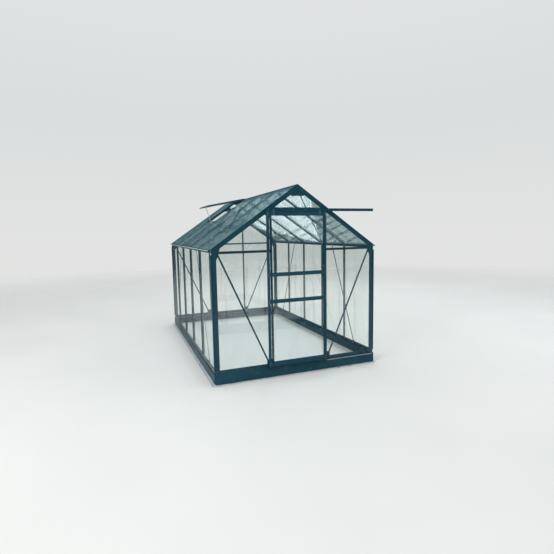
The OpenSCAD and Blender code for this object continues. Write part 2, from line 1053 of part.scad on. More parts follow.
module glass_roof_left() {
    color(glass) on_roof_left() roof_panes(vent_bay - 1);
}

module glass_roof_right() {
    color(glass) on_roof_right() roof_panes(-1);
}

plinth_front();
plinth_back();
plinth_left();
plinth_right();
sill_front();
sill_back();
sill_left();
sill_right();
corner_posts();
door_posts();
back_posts();
wall_bars_left();
wall_bars_right();
cross_bars_front();
cross_bars_back();
header();
rafters_front();
rafters_back();
ridge_bar();
gutter_left();
gutter_right();
roof_bars_left();
roof_bars_right();
gable_braces();
wall_braces();
roof_braces();
joint_plates();
vent_sill();
vent_frame();
vent_glass();
vent_stay();
door_track();
door_guide_rail();
door_stiles();
door_rails();
door_glass();
door_hangers();
door_wheels();
door_guides();
glass_front();
glass_back();
glass_left();
glass_right();
glass_roof_left();
glass_roof_right();
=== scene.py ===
import json
import math

import bpy
from mathutils import Matrix, Vector


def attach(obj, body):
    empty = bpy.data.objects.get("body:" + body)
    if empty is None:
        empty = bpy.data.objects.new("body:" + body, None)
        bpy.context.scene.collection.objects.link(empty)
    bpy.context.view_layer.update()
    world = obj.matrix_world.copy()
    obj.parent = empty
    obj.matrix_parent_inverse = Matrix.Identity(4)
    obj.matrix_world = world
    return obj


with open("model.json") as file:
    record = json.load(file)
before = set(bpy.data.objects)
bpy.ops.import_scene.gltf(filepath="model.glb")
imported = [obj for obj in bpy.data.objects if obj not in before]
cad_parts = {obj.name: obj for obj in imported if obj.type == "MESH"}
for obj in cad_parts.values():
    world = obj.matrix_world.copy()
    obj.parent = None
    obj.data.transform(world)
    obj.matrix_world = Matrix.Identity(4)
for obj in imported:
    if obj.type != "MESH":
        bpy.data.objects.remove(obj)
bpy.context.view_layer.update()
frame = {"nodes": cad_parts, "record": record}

# ---------- sizes shared with the CAD model, in metres ----------

MM = 0.001
HALF_WIDTH = 965 * MM
HALF_LENGTH = 1585 * MM
Y_MID = 4 * MM
EAVES = 1409 * MM
RIDGE = 2078 * MM
PITCH = math.atan2(RIDGE - EAVES, HALF_WIDTH)
PLINTH_TOP = 112 * MM
RIDGE_CAP = 16 * MM
VENT_ANGLE = math.radians(24)
HANGER_FACE = Y_MID - HALF_LENGTH - 31 * MM
# How far apart two measures may be and still count as the same
CLOSE = 0.01 * MM

# ---------- places along and behind the walls, in millimetres ----------

BAR_LINES = (-937.5, -312.5, 312.5, 937.5)
POST_LINE = 313
FLANGE_BACK = 8.5
PLATE_BACK = 10.5
# Gable braces lie on the plates, wall and roof braces behind the bars
GABLE_BRACE_BACK = 13
LONG_BRACE_BACK = 32.5
VENT_MIDDLE = 312.5

# ---------- frames of reference ----------

# Gables and walls: x along the wall, y into the building, z up
FRONT = Matrix.Translation((0, Y_MID - HALF_LENGTH, 0))
BACK = Matrix.Translation((0, Y_MID + HALF_LENGTH, 0)) @ Matrix.Rotation(math.pi, 4, "Z")
LEFT = Matrix.Translation((-HALF_WIDTH, Y_MID, 0)) @ Matrix.Rotation(-math.pi / 2, 4, "Z")
RIGHT = Matrix.Translation((HALF_WIDTH, Y_MID, 0)) @ Matrix.Rotation(math.pi / 2, 4, "Z")
# Roof slopes: x down the slope, y along the building, z out of the roof
ROOF_RIGHT = Matrix.Translation((0, Y_MID, RIDGE)) @ Matrix.Rotation(PITCH, 4, "Y")
ROOF_LEFT = (Matrix.Translation((0, Y_MID, 0)) @ Matrix.Rotation(math.pi, 4, "Z")
             @ Matrix.Translation((0, -Y_MID, 0)) @ ROOF_RIGHT)
GABLES = (FRONT, BACK)
WALLS = (LEFT, RIGHT)
SLOPES = (ROOF_LEFT, ROOF_RIGHT)
MIRROR = Matrix.Diagonal((-1, 1, 1, 1))

# Turns of a pattern whose foot is at z = 0 and which points along +z
POINT_IN = Matrix(((0, 1, 0, 0), (0, 0, 1, 0), (1, 0, 0, 0), (0, 0, 0, 1)))
POINT_OUT = Matrix(((1, 0, 0, 0), (0, 0, -1, 0), (0, 1, 0, 0), (0, 0, 0, 1)))
POINT_DOWN = Matrix(((0, 1, 0, 0), (1, 0, 0, 0), (0, 0, -1, 0), (0, 0, 0, 1)))
POINT_UP = Matrix.Identity(4)


def mm(point):
    return tuple(value * MM for value in point)


def at(base, x, y, z, turn=POINT_UP):
    """The place of a pattern at a point, in millimetres, of a frame of reference."""
    return base @ Matrix.Translation(mm((x, y, z))) @ turn


def places(bases, points, turn=POINT_UP):
    return [at(base, *point, turn) for base in bases for point in points]


def both(*points):
    """The points and their mirror images about the middle of a wall."""
    return [(side * x, y, z) for x, y, z in points for side in (-1, 1)]


# ---------- modelling ----------

def select_only(*pieces):
    bpy.ops.object.select_all(action="DESELECT")
    for piece in pieces:
        piece.select_set(True)
    bpy.context.view_layer.objects.active = pieces[-1]


def start_box(name, low, high):
    """A box between two corners, ready to be shaped."""
    bpy.ops.object.select_all(action="DESELECT")
    low, high = Vector(low), Vector(high)
    bpy.ops.mesh.primitive_cube_add(size=1, location=(low + high) / 2, scale=high - low)
    piece = bpy.context.active_object
    piece.name = name
    settle(piece)
    return piece


def start_round(name, sides, radius, low, high):
    """An upright prism or cylinder from z = low to z = high, ready to be shaped."""
    bpy.ops.object.select_all(action="DESELECT")
    bpy.ops.mesh.primitive_cylinder_add(vertices=sides, radius=radius, depth=high - low,
                                        location=(0, 0, (low + high) / 2))
    piece = bpy.context.active_object
    piece.name = name
    settle(piece)
    return piece


def settle(piece):
    """Moves a piece's place and size into its mesh."""
    select_only(piece)
    bpy.ops.object.transform_apply(location=True, rotation=True, scale=True)


def edit(piece, kind, test):
    """Edit mode with only the edges or faces selected that pass the test."""
    select_only(piece)
    mesh = piece.data
    for items in (mesh.vertices, mesh.edges, mesh.polygons):
        items.foreach_set("select", [False] * len(items))
    items = mesh.edges if kind == "EDGE" else mesh.polygons
    for item in items:
        item.select = test(mesh, item)
    bpy.context.tool_settings.mesh_select_mode = (False, kind == "EDGE", kind == "FACE")
    bpy.ops.object.mode_set(mode="EDIT")


def leave(piece):
    bpy.ops.object.mode_set(mode="OBJECT")
    return piece


def ends(mesh, edge):
    return [mesh.vertices[i].co for i in edge.vertices]


def along(axis):
    """Picks edges that run along an axis."""
    def test(mesh, edge):
        a, b = ends(mesh, edge)
        step = b - a
        return abs(step[axis]) > 0.9 * step.length
    return test


def rim(height):
    """Picks the edges of a ring at a height."""
    return lambda mesh, edge: all(abs(point.z - height) < CLOSE for point in ends(mesh, edge))


def everything(mesh, item):
    return True


def bevel_edges(piece, test, width, steps):
    edit(piece, "EDGE", test)
    bpy.ops.mesh.bevel(offset=width, segments=steps, affect="EDGES")
    return leave(piece)


def cut_across(piece, point, normal):
    """Adds a ring of edges where a plane meets the piece."""
    edit(piece, "FACE", everything)
    bpy.ops.mesh.bisect(plane_co=point, plane_no=normal)
    return leave(piece)


def outward(piece):
    """Turns the faces of a mirrored piece outwards again."""
    edit(piece, "FACE", everything)
    bpy.ops.mesh.normals_make_consistent(inside=False)
    return leave(piece)


def smooth(piece, degrees=35):
    select_only(piece)
    bpy.ops.object.shade_smooth_by_angle(angle=math.radians(degrees))
    return piece


def joined(name, pieces):
    select_only(*pieces)
    if len(pieces) > 1:
        bpy.ops.object.join()
    piece = bpy.context.active_object
    piece.name = name
    piece.data.name = name
    return piece


def spread(name, pattern, places):
    """One piece made of a copy of the pattern at every place."""
    copies = []
    for place in places:
        copy = pattern.copy()
        copy.data = pattern.data.copy()
        copy.data.transform(place)
        bpy.context.scene.collection.objects.link(copy)
        copies.append(copy)
    return joined(name, copies)


def drop(*patterns):
    for pattern in patterns:
        bpy.data.objects.remove(pattern)


def fit(piece, body, material):
    """Gives a finished piece its material and its body."""
    piece.data.materials.clear()
    piece.data.materials.append(material)
    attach(piece, body)
    return piece


# ---------- material nodes ----------

# Sockets of a Mix node that mixes colours
MIX_SHARE, MIX_FIRST, MIX_SECOND, MIX_RESULT = 0, 6, 7, 2


class Recipe:
    """A material under construction, with short calls for the nodes it uses."""

    def __init__(self, name):
        self.material = bpy.data.materials.new(name)
        self.material.use_nodes = True
        self.tree = self.material.node_tree
        self.shader = self.tree.nodes["Principled BSDF"]
        self.output = self.tree.nodes["Material Output"]
        self.place = self.add("ShaderNodeTexCoord").outputs["Object"]

    def add(self, kind, **settings):
        node = self.tree.nodes.new(kind)
        for key, value in settings.items():
            setattr(node, key, value)
        return node

    def put(self, source, socket):
        """Links a socket to a socket, or sets it to a value."""
        if hasattr(source, "links"):
            self.tree.links.new(source, socket)
        else:
            socket.default_value = source

    def scaled(self, scale):
        node = self.add("ShaderNodeMapping")
        self.put(self.place, node.inputs["Vector"])
        node.inputs["Scale"].default_value = scale
        return node.outputs["Vector"]

    def noise(self, scale, detail=3, rough=0.55, at=None):
        node = self.add("ShaderNodeTexNoise")
        self.put(at or self.place, node.inputs["Vector"])
        node.inputs["Scale"].default_value = scale
        node.inputs["Detail"].default_value = detail
        node.inputs["Roughness"].default_value = rough
        return node.outputs["Fac"]

    def cells(self, scale):
        node = self.add("ShaderNodeTexVoronoi")
        self.put(self.place, node.inputs["Vector"])
        node.inputs["Scale"].default_value = scale
        return node.outputs["Color"]

    def ramp(self, source, low, high, to_low=0.0, to_high=1.0):
        node = self.add("ShaderNodeMapRange", interpolation_type="SMOOTHSTEP")
        for value, key in ((source, "Value"), (low, "From Min"), (high, "From Max"),
                           (to_low, "To Min"), (to_high, "To Max")):
            self.put(value, node.inputs[key])
        return node.outputs["Result"]

    def math(self, operation, a, b=0.0):
        node = self.add("ShaderNodeMath", operation=operation)
        self.put(a, node.inputs[0])
        self.put(b, node.inputs[1])
        return node.outputs[0]

    def mix(self, share, a, b):
        node = self.add("ShaderNodeMix", data_type="RGBA")
        self.put(share, node.inputs[MIX_SHARE])
        self.put(a, node.inputs[MIX_FIRST])
        self.put(b, node.inputs[MIX_SECOND])
        return node.outputs[MIX_RESULT]

    def axis(self, letter):
        node = self.add("ShaderNodeSeparateXYZ")
        self.put(self.place, node.inputs[0])
        return node.outputs[letter]

    def bump(self, height, strength, distance):
        node = self.add("ShaderNodeBump")
        node.inputs["Strength"].default_value = strength
        node.inputs["Distance"].default_value = distance
        self.put(height, node.inputs["Height"])
        self.put(node.outputs[0], self.shader.inputs["Normal"])

    def edges(self, radius):
        """1 on worn edges and 0 on flats."""
        bevel = self.add("ShaderNodeBevel", samples=4)
        bevel.inputs["Radius"].default_value = radius
        plain = self.add("ShaderNodeNewGeometry")
        dot = self.add("ShaderNodeVectorMath", operation="DOT_PRODUCT")
        self.put(bevel.outputs[0], dot.inputs[0])
        self.put(plain.outputs["Normal"], dot.inputs[1])
        return self.ramp(dot.outputs["Value"], 0.995, 0.86)

    def set(self, **values):
        for key, value in values.items():
            self.put(value, self.shader.inputs[key.replace("_", " ")])


def rgb(red, green, blue):
    return (red, green, blue, 1.0)


PAINT = rgb(0.011, 0.060, 0.086)
PAINT_DEEP = rgb(0.007, 0.046, 0.070)
PAINT_WORN = rgb(0.060, 0.130, 0.155)
DUST = rgb(0.15, 0.19, 0.18)
ZINC = rgb(0.56, 0.58, 0.60)
ZINC_DULL = rgb(0.30, 0.32, 0.34)
GALVANISED = rgb(0.74, 0.76, 0.79)
GALVANISED_DULL = rgb(0.46, 0.49, 0.52)
# Pale colour painted on the gutter's outer lip as a reflection of bright surroundings
PAINTED_LIP_REFLECTION = rgb(0.46, 0.56, 0.54)
# Colour of rubbed metal, also used for the painted highlight on the guide rail's right end
RUBBED_METAL_AND_HIGHLIGHT = rgb(0.52, 0.55, 0.57)
SHEEN_LEVEL = 0.12


def paint_layers(recipe):
    """Colour, roughness and grain of satin powder paint that has stood outdoors."""
    cloud = recipe.noise(2.3, 4)
    colour = recipe.mix(recipe.ramp(cloud, 0.35, 0.65), PAINT, PAINT_DEEP)
    splashes = recipe.noise(16, 5, 0.65)
    low = recipe.ramp(recipe.axis("Z"), 0.30, 0.01, 0.03, 0.20)
    dusty = recipe.math("MULTIPLY", recipe.ramp(splashes, 0.50, 0.80), low)
    colour = recipe.mix(dusty, colour, DUST)
    chips = recipe.ramp(recipe.noise(120, 3), 0.42, 0.62)
    edge_wear_and_lip_reflection = recipe.math("MULTIPLY", recipe.edges(0.0009), chips)
    colour = recipe.mix(recipe.math("MULTIPLY", edge_wear_and_lip_reflection, 0.55), colour, PAINT_WORN)
    rough = recipe.math("ADD", recipe.ramp(cloud, 0.3, 0.7, 0.30, 0.40),
                        recipe.math("MULTIPLY", dusty, 0.4))
    grain = recipe.noise(700, 2)
    return colour, rough, grain


def finish_paint(recipe, grain, **values):
    """Sets a painted material's own values and the sheen and grain that all of them share."""
    recipe.set(Specular_IOR_Level=SHEEN_LEVEL, **values)
    recipe.bump(grain, 0.12, 0.0004)
    return recipe.material


def make_paint(name):
    recipe = Recipe(name)
    colour, rough, grain = paint_layers(recipe)
    return finish_paint(recipe, grain, Base_Color=colour, Roughness=rough)


def make_plinth_paint(name):
    """Painted folded steel whose foot and lowest edge show bare galvanising; on the left wall
    the bright strip reaches higher as a painted highlight.
    """
    recipe = Recipe(name)
    colour, rough, grain = paint_layers(recipe)
    spangle = recipe.cells(60)
    grey = recipe.mix(recipe.ramp(spangle, 0.0, 1.0, 0.0, 0.55), GALVANISED, GALVANISED_DULL)
    ragged = recipe.noise(7, 3, 0.45)
    # The bright strip reaches higher on the left wall than on the other sides; the extra height
    # there is a painted highlight of the lit side.
    reach = recipe.ramp(recipe.axis("X"), -HALF_WIDTH + 12 * MM, -HALF_WIDTH, 6 * MM, 30 * MM)
    height = recipe.math("SUBTRACT", recipe.axis("Z"), recipe.math("MULTIPLY", ragged, reach))
    # Mask of the bright strip: bare galvanising along the foot everywhere, plus a painted
    # highlight higher up the left wall
    bare_foot_and_left_highlight = recipe.ramp(height, 4 * MM, 0.8 * MM)
    rough = recipe.math("SUBTRACT", rough, recipe.math("MULTIPLY", bare_foot_and_left_highlight, 0.04))
    return finish_paint(recipe, grain, Base_Color=recipe.mix(bare_foot_and_left_highlight, colour, grey),
                        Metallic=recipe.math("MULTIPLY", bare_foot_and_left_highlight, 0.45), Roughness=rough)


def make_hanger_paint(name):
    """Painted hanger plates with bright bolt heads standing in front of them."""
    recipe = Recipe(name)
    colour, rough, grain = paint_layers(recipe)
    head = recipe.ramp(recipe.axis("Y"), HANGER_FACE - 0.1 * MM, HANGER_FACE - 0.3 * MM)
    return finish_paint(recipe, grain, Base_Color=recipe.mix(head, colour, ZINC_DULL),
                        Metallic=head, Roughness=rough)


def make_gutter_paint(name):
    """Painted eaves beam whose thin outer lip carries a pale painted reflection, broken up by
    noise.
    """
    recipe = Recipe(name)
    colour, rough, grain = paint_layers(recipe)
    across = recipe.math("ABSOLUTE", recipe.axis("X"))
    # The pale colour on the outer lip is painted reflection
    lip = recipe.ramp(across, HALF_WIDTH + 17 * MM, HALF_WIDTH + 19 * MM)
    edge_wear_and_lip_reflection = recipe.math("MULTIPLY", lip, recipe.ramp(recipe.noise(18, 4), 0.25, 0.55, 0.6, 1.0))
    return finish_paint(recipe, grain, Base_Color=recipe.mix(edge_wear_and_lip_reflection, colour, PAINTED_LIP_REFLECTION),
                        Roughness=rough)


def make_rail_paint(name):
    """Painted guide rail, rubbed bright along its crest where the door runs over it, and bright
    over its right end as a painted highlight.
    """
    recipe = Recipe(name)
    colour, rough, grain = paint_layers(recipe)
    ragged = recipe.noise(40, 4)
    # Brightening over the rail's right end is a painted highlight; the crest below is rubbing
    # wear
    right_end_highlight = recipe.ramp(recipe.axis("X"), 310 * MM, 360 * MM)
    crest = recipe.ramp(recipe.axis("Z"), PLINTH_TOP + 7.2 * MM, PLINTH_TOP + 7.8 * MM, 0.0, 0.5)
    rubbed_crest_and_highlight = recipe.math("MULTIPLY", recipe.math("MAXIMUM", right_end_highlight, crest),
                         recipe.ramp(ragged, 0.30, 0.55, 0.55, 1.0))
    return finish_paint(recipe, grain, Base_Color=recipe.mix(rubbed_crest_and_highlight, colour, RUBBED_METAL_AND_HIGHLIGHT),
                        Metallic=rubbed_crest_and_highlight, Roughness=rough)


def make_bare_metal(name):
    """Drawn aluminium or stainless steel with fine scratches and dull patches."""
    recipe = Recipe(name)
    patches = recipe.noise(14, 4)
    colour = recipe.mix(recipe.ramp(patches, 0.4, 0.7), rgb(0.66, 0.67, 0.68),
                        rgb(0.44, 0.46, 0.47))
    scratches = recipe.noise(1.0, 2, 0.5, recipe.scaled((12, 500, 500)))
    recipe.set(Base_Color=colour, Metallic=1.0,
               Roughness=recipe.ramp(scratches, 0.3, 0.7, 0.22, 0.42))
    recipe.bump(scratches, 0.10, 0.0002)
    return recipe.material


def make_zinc(name):
    """Zinc-plated bolts, a little dulled by the weather."""
    recipe = Recipe(name)
    patches = recipe.noise(160, 4)
    colour = recipe.mix(recipe.ramp(patches, 0.4, 0.65), ZINC, ZINC_DULL)
    recipe.set(Base_Color=colour, Metallic=0.9,
               Roughness=recipe.ramp(patches, 0.3, 0.7, 0.28, 0.5))
    recipe.bump(patches, 0.1, 0.0002)
    return recipe.material


def make_rubber(name):
    recipe = Recipe(name)
    bloom = recipe.noise(35, 4)
    colour = recipe.mix(recipe.ramp(bloom, 0.4, 0.75), rgb(0.012, 0.013, 0.013),
                        rgb(0.035, 0.038, 0.036))
    recipe.set(Base_Color=colour, Roughness=recipe.ramp(bloom, 0.3, 0.7, 0.55, 0.78))
    recipe.bump(recipe.noise(900, 2), 0.15, 0.0003)
    return recipe.material


def make_nylon(name):
    recipe = Recipe(name)
    cloud = recipe.noise(60, 3)
    colour = recipe.mix(recipe.ramp(cloud, 0.4, 0.7), rgb(0.018, 0.019, 0.020),
                        rgb(0.040, 0.042, 0.043))
    recipe.set(Base_Color=colour, Roughness=recipe.ramp(cloud, 0.3, 0.7, 0.36, 0.5))
    recipe.bump(recipe.noise(1200, 2), 0.1, 0.0002)
    return recipe.material


def make_glass(name, tint, mirror):
    """Horticultural glass: a tint under a thin film of dust. A faint green tint is the glass's
    own; the roof's deeper teal tint is painted reflection.

    mirror is how much of the pane acts as glass that mirrors; the rest is clear.
    """
    recipe = Recipe(name)
    film = recipe.noise(1.0, 5, 0.6, recipe.scaled((9, 9, 2.5)))
    spots = recipe.noise(160, 2)
    dusty = recipe.math("MULTIPLY", recipe.ramp(film, 0.45, 0.75), recipe.ramp(spots, 0.45, 0.7))
    colour = recipe.mix(dusty, tint, rgb(*(0.90 * part for part in tint[:3])))
    recipe.set(Base_Color=colour, Roughness=recipe.ramp(dusty, 0.0, 1.0, 0.0, 0.03),
               IOR=1.5, Transmission_Weight=1.0)
    recipe.bump(recipe.noise(0.9, 1), 0.1, 0.0003)
    clear = recipe.add("ShaderNodeBsdfTransparent")
    recipe.put(colour, clear.inputs["Color"])
    path = recipe.add("ShaderNodeLightPath")
    share = recipe.math("MULTIPLY", recipe.math("SUBTRACT", 1.0, path.outputs["Is Shadow Ray"]),
                        mirror)
    mixer = recipe.add("ShaderNodeMixShader")
    recipe.put(share, mixer.inputs[0])
    recipe.put(clear.outputs[0], mixer.inputs[1])
    recipe.put(recipe.shader.outputs[0], mixer.inputs[2])
    recipe.put(mixer.outputs[0], recipe.output.inputs["Surface"])
    return recipe.material


MATERIALS = {
    "frame_paint": make_paint("satin_blue_green_paint"),
    "plinth_paint": make_plinth_paint("painted_galvanised_plinth_left_highlight"),
    "clear_glass": make_glass("wall_glass", rgb(0.980, 0.994, 0.988), 0.12),
    "bare_metal": make_bare_metal("drawn_bare_metal"),
    "black_plastic": make_nylon("black_nylon"),
}
# The roof glass's deeper teal tint is painted reflection of dark surroundings; it is the same
# glass as the walls
ROOF_GLASS = make_glass("roof_glass", rgb(0.88, 0.962, 0.965), 0.80)
HANGER_PAINT = make_hanger_paint("painted_hangers_bright_bolts")
GUTTER_PAINT = make_gutter_paint("painted_eaves_with_painted_lip_reflection")
RAIL_PAINT = make_rail_paint("painted_guide_rail_rubbed_and_highlit")
BOLT_ZINC = make_zinc("zinc_plated_bolts")
SEAL_RUBBER = make_rubber("black_glazing_rubber")


def dress_cad_nodes():
    """Gives every CAD node the material of its slot, or a closer one."""
    closer = {"door_hangers": HANGER_PAINT, "door_guide_rail": RAIL_PAINT,
              "gutter_left": GUTTER_PAINT, "gutter_right": GUTTER_PAINT,
              "glass_roof_left": ROOF_GLASS, "glass_roof_right": ROOF_GLASS,
              "vent_glass": ROOF_GLASS}
    slots = {part["node"]: part["material_slot"] for part in frame["record"]["subparts"]}
    for name, node in frame["nodes"].items():
        for slot in node.material_slots:
            slot.material = closer.get(name, MATERIALS[slots[name]])


dress_cad_nodes()


# ---------- bolts and screws ----------

def bolt_pattern(size=1.0):
    """Washer, hexagon nut and the end of the bolt; size 1 is a six millimetre bolt."""
    unit = size * MM
    parts = []
    for name, sides, radius, low, high, edge in (
            ("washer", 12, 7.2, 0.0, 1.3, 0.35), ("nut", 6, 5.8, 1.3, 6.3, 0.6),
            ("bolt_end", 8, 3.0, 6.3, 9.2, 0.6)):
        part = start_round(name, sides, radius * unit, low * unit, high * unit)
        parts.append(bevel_edges(part, rim(high * unit), edge * unit, 1))
    return smooth(joined("bolt", parts), 30)


def screw_pattern(radius, height):
    """A pan head with a socket."""
    head = start_round("screw", 12, radius, 0, height)
    bevel_edges(head, rim(height), 0.45 * height, 2)
    edit(head, "FACE", lambda mesh, face: face.normal.z > 0.99)
    bpy.ops.mesh.inset(thickness=0.30 * radius)
    bpy.ops.mesh.inset(thickness=0.05 * radius, depth=-0.45 * height)
    return smooth(leave(head), 40)


def plinth_points(depth):
    """Places of the plinth's corner bolts: those on a gable, then those on a wall."""
    return [[(side * reach, depth, z) for side in (-1, 1) for z in (35, 80)]
            for reach in (935, 1555)]


def make_bolts():
    bolt = bolt_pattern()
    small = bolt_pattern(0.68)

    def add(name, pattern, spots):
        fit(spread(name, pattern, spots), "frame", BOLT_ZINC)

    corner = both((935, PLATE_BACK, 1312), (930, PLATE_BACK, 1393), (877, PLATE_BACK, 1434),
                  (887, GABLE_BRACE_BACK, 1350))
    foot = both((345, PLATE_BACK, 142), (372, PLATE_BACK, 142), (368, GABLE_BRACE_BACK, 184))
    apex = both((30, PLATE_BACK, 1990), (56, PLATE_BACK, 1968))
    add("gable_bolts", bolt, places(GABLES, corner + foot + apex, POINT_IN))
    tabs = both((647.5, LONG_BRACE_BACK, 1382), (1197.5, LONG_BRACE_BACK, 148))
    add("wall_brace_bolts", bolt, places(WALLS, tabs, POINT_IN))
    braces = [(down, side * along, -LONG_BRACE_BACK)
              for down, along in ((62, 1515.2), (1130, 391.3)) for side in (-1, 1)]
    add("roof_brace_bolts", bolt, places(SLOPES, braces, POINT_DOWN))
    wall_sills = both(*((along, 26, 114.5) for along in (1400, 840, 280)))
    gable_sills = both(*((along, 26, 114.5) for along in (800, 480)))
    add("sill_bolts", bolt, places(WALLS, wall_sills) + places(GABLES, gable_sills))
    gable_nuts, wall_nuts = plinth_points(2)
    add("plinth_nuts", bolt, places(GABLES, gable_nuts, POINT_IN)
        + places(WALLS, wall_nuts, POINT_IN))
    wall = [(x + 7.5, PLATE_BACK, z) for x in BAR_LINES for z in (140, 173, 1357, 1386)]
    ridge = [(down, y + 7.5, -PLATE_BACK) for y in BAR_LINES for down in (22, 42)]
    cross = both((334, FLANGE_BACK, 1367), (334, FLANGE_BACK, 1383))
    add("cleat_bolts", small, places(WALLS, wall, POINT_IN) + places(SLOPES, ridge, POINT_DOWN)
        + places(GABLES, cross, POINT_IN))
    drop(bolt, small)


def make_screws():
    dome = screw_pattern(6 * MM, 3 * MM)
    gable_heads, wall_heads = plinth_points(-2)
    fit(spread("plinth_heads", dome, places(GABLES, gable_heads, POINT_OUT)
               + places(WALLS, wall_heads, POINT_OUT)),
        "frame", MATERIALS["frame_paint"])
    pan = screw_pattern(3.6 * MM, 2 * MM)
    stiles = [(x, -28, z + step) for x in (-356.5, 312.5) for z in (156, 839, 1126, 1764)
              for step in (-11, 11)]
    hangers = [(x + step, -31, 1783) for x in (-289.5, 245.5) for step in (-10.5, 10.5)]
    fit(spread("door_screws", pan, places((FRONT,), stiles + hangers, POINT_OUT)),
        "door", BOLT_ZINC)
    flat = screw_pattern(3.2 * MM, 1.2 * MM)
    track = [(-335 + 140.4 * i, -2.5, 1814) for i in range(10)]
    fit(spread("track_screws", flat, places((FRONT,), track, POINT_OUT)),
        "frame", BOLT_ZINC)
    drop(dome, pan, flat)


# ---------- small plates ----------

def plate(name, low, high, axis, corner):
    """A flat plate with rounded corners, sized in millimetres and thin along an axis."""
    return bevel_edges(start_box(name, mm(low), mm(high)), along(axis), corner * MM, 2)


def make_cleats():
    """Angles that join the bars to the sill, the eaves and the ridge."""
    wall = joined("wall_cleat", [
        plate("leaf", (1.5, FLANGE_BACK, 125), (13.2, PLATE_BACK, 190), 1, 3),
        plate("leg", (1.5, PLATE_BACK, 160), (3.5, 26, 190), 0, 4),
        plate("top_leaf", (1.5, FLANGE_BACK, 1343), (13.2, PLATE_BACK, 1398), 1, 3),
        plate("top_leg", (1.5, PLATE_BACK, 1343), (3.5, 26, 1370), 0, 4)])
    ridge = joined("ridge_cleat", [
        plate("leaf", (14, 1.5, -PLATE_BACK), (52, 13.2, -FLANGE_BACK), 2, 3),
        plate("leg", (30, 1.5, -26), (52, 3.5, -PLATE_BACK), 1, 4)])
    fit(spread("wall_cleats", wall, places(WALLS, [(x, 0, 0) for x in BAR_LINES])),
        "frame", MATERIALS["frame_paint"])
    fit(spread("ridge_cleats", ridge, places(SLOPES, [(0, y, 0) for y in BAR_LINES])),
        "frame", MATERIALS["frame_paint"])
    drop(wall, ridge)


def make_plinth_corners():
    """Angles bolted inside the corners of the plinth."""
    gable_leg = plate("gable_leg", (905, 0.1, 15), (964.9, 2, 98), 1, 5)
    wall_leg = plate("wall_leg", (1525, 0.1, 15), (1583, 2, 98), 1, 5)
    pieces = []
    for leg, bases in ((gable_leg, GABLES), (wall_leg, WALLS)):
        pieces.append(spread("legs", leg, bases))
        pieces.append(spread("mirrored_legs", leg, [base @ MIRROR for base in bases]))
    fit(outward(joined("plinth_corners", pieces)), "frame", BOLT_ZINC)
    drop(gable_leg, wall_leg)


def make_gutter_ends():
    inner, outer = 1576.1, 1578
    cap = plate("gutter_end", (inner, -22, 1393), (outer, -0.4, 1402), 0, 3)
    fit(spread("gutter_ends", cap, places(WALLS, [(0, 0, 0), (-inner - outer, 0, 0)])),
        "frame", MATERIALS["frame_paint"])
    drop(cap)


def make_ridge_capping():
    """Folded strip that covers the top edges of the roof panes."""
    width, thickness, end = 19.5 * MM, 1.8 * MM, 1575 * MM
    reach = width * math.cos(PITCH)
    fall = width * math.sin(PITCH)
    top = RIDGE - 0.3 * MM

    def fold(lowest):
        """Picks the edges along the middle that lie above a height."""
        return lambda mesh, edge: all(abs(point.x) < CLOSE and point.z > lowest
                                      for point in ends(mesh, edge))

    strip = start_box("ridge_capping", (-reach, Y_MID - end, top - fall - thickness),
                      (reach, Y_MID + end, top - fall))
    cut_across(strip, (0, 0, 0), (1, 0, 0))
    edit(strip, "EDGE", fold(0))
    bpy.ops.transform.translate(value=(0, 0, fall))
    leave(strip)
    bevel_edges(strip, fold(RIDGE - MM), 2.5 * MM, 3)
    fit(smooth(strip), "frame", MATERIALS["frame_paint"])


# ---------- roof vent fittings ----------

# The raised vent: x from the hinge to the free edge, y along the building, z out of the roof
VENT = (Matrix.Translation((0, Y_MID, RIDGE)) @ MIRROR @ Matrix.Rotation(PITCH, 4, "Y")
        @ Matrix.Translation((RIDGE_CAP + 4 * MM, VENT_MIDDLE * MM, 1 * MM))
        @ Matrix.Rotation(-VENT_ANGLE, 4, "Y"))


def make_vent_fittings():
    hinge = start_round("hinge", 12, 2.8 * MM, 0, 64 * MM)
    for height in (21 * MM, 43 * MM):
        cut_across(hinge, (0, 0, height), (0, 0, 1))
        bevel_edges(hinge, rim(height), 0.8 * MM, 1)
    smooth(hinge, 30)
    along_ridge = Matrix.Rotation(-math.pi / 2, 4, "X")
    starts = [(20, y, 3.1) for y in (-880, -657, -434)]
    fit(spread("vent_hinges", hinge, places((ROOF_LEFT,), starts, along_ridge)),
        "frame", BOLT_ZINC)
    drop(hinge)
    bracket = plate("vent_stay_bracket", (514, VENT_MIDDLE - 9, -7),
                    (546, VENT_MIDDLE + 9, -0.1), 1, 2.5)
    bracket.data.transform(VENT)
    shoe = plate("vent_stay_shoe", (566, -634, -5.9), (585, -616, 3), 1, 2.5)
    shoe.data.transform(ROOF_LEFT)
    fit(outward(joined("vent_stay_brackets", [bracket, shoe])),
        "frame", BOLT_ZINC)
    screw = screw_pattern(3.2 * MM, 1.6 * MM)
    corners = [(x, y, 14) for x in (11, 547) for y in (13, 612)]
    fit(outward(spread("vent_screws", screw, places((VENT,), corners))),
        "frame", BOLT_ZINC)
    drop(screw)


# ---------- seals and clips ----------

# Width of a run of rubber, and its depths behind the panes of the walls and of the door
BEAD = 3.6
PANE_SIDE, BAR_SIDE = 5.03, 5.97
DOOR_PANE_SIDE, DOOR_BAR_SIDE = -25.47, -24.53
# Where a run starts, from the middle of a bar, for the panes before and after it
BESIDE_BAR = (-12.8, 9.2)
# Lower edges of the level runs at the sill and at both sides of the gable cross bars
SILL_RUN = 153
GABLE_RUNS = (SILL_RUN, 1362.4, 1384)
# Ends of the upright runs, which stand between the level ones
ABOVE_SILL = 157
BELOW_CROSS = 1362
ABOVE_CROSS = 1388


